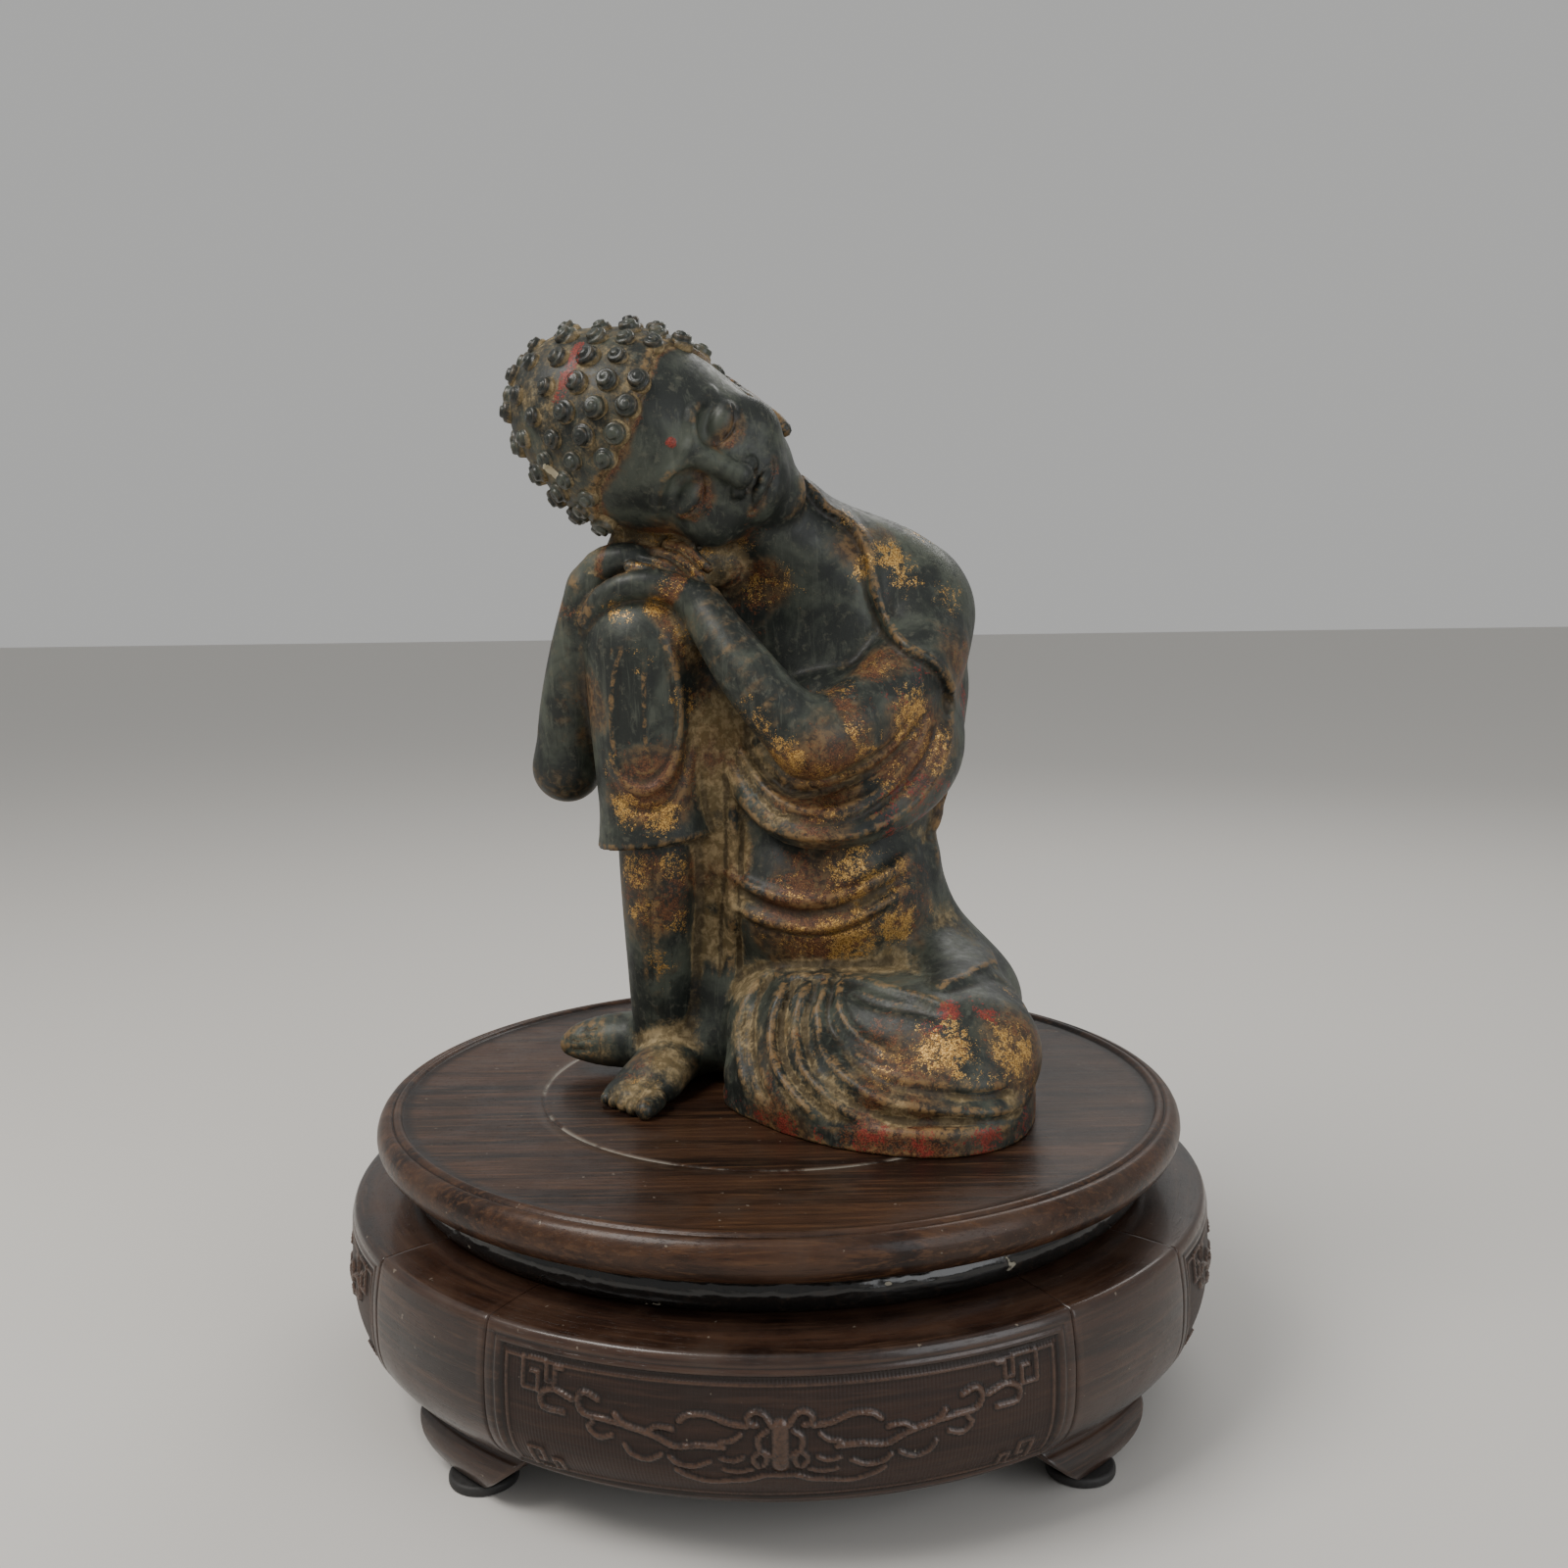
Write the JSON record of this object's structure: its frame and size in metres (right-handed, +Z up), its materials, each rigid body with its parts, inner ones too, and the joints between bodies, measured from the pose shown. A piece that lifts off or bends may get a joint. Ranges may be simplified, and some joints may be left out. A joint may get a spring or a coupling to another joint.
{
  "type": "resting buddha statue",
  "caption": "Seated resting Buddha with one knee raised and the head laid on both hands, in dark lacquered bronze, on a round carved hardwood stand.",
  "frame": {"origin": "centre of the stand's round plan at the level of the surface it stands on", "axes": "+Z up, -Y the side the figure faces, +X the viewer's right from the front"},
  "size_m": [0.225, 0.225, 0.2675],
  "materials": {
    "lacquered_bronze": "worn dark lacquer over bronze, with gold leaf, red-brown and dusty patches",
    "rosewood": "dark satin polish",
    "black_lacquered_wood": "gloss black lacquer",
    "dark_rubber": "matt"
  },
  "bodies": {
    "root": {"resting_buddha": "lacquered_bronze", "stand_top_board": "rosewood", "stand_waist": "black_lacquered_wood", "stand_apron_front": "rosewood", "stand_apron_right": "rosewood", "stand_apron_back": "rosewood", "stand_apron_left": "rosewood", "stand_leg_front_right": "rosewood", "stand_leg_back_right": "rosewood", "stand_leg_back_left": "rosewood", "stand_leg_front_left": "rosewood", "foot_pad_front_right": "dark_rubber", "foot_pad_back_right": "dark_rubber", "foot_pad_back_left": "dark_rubber", "foot_pad_front_left": "dark_rubber"}
  },
  "joints": []
}
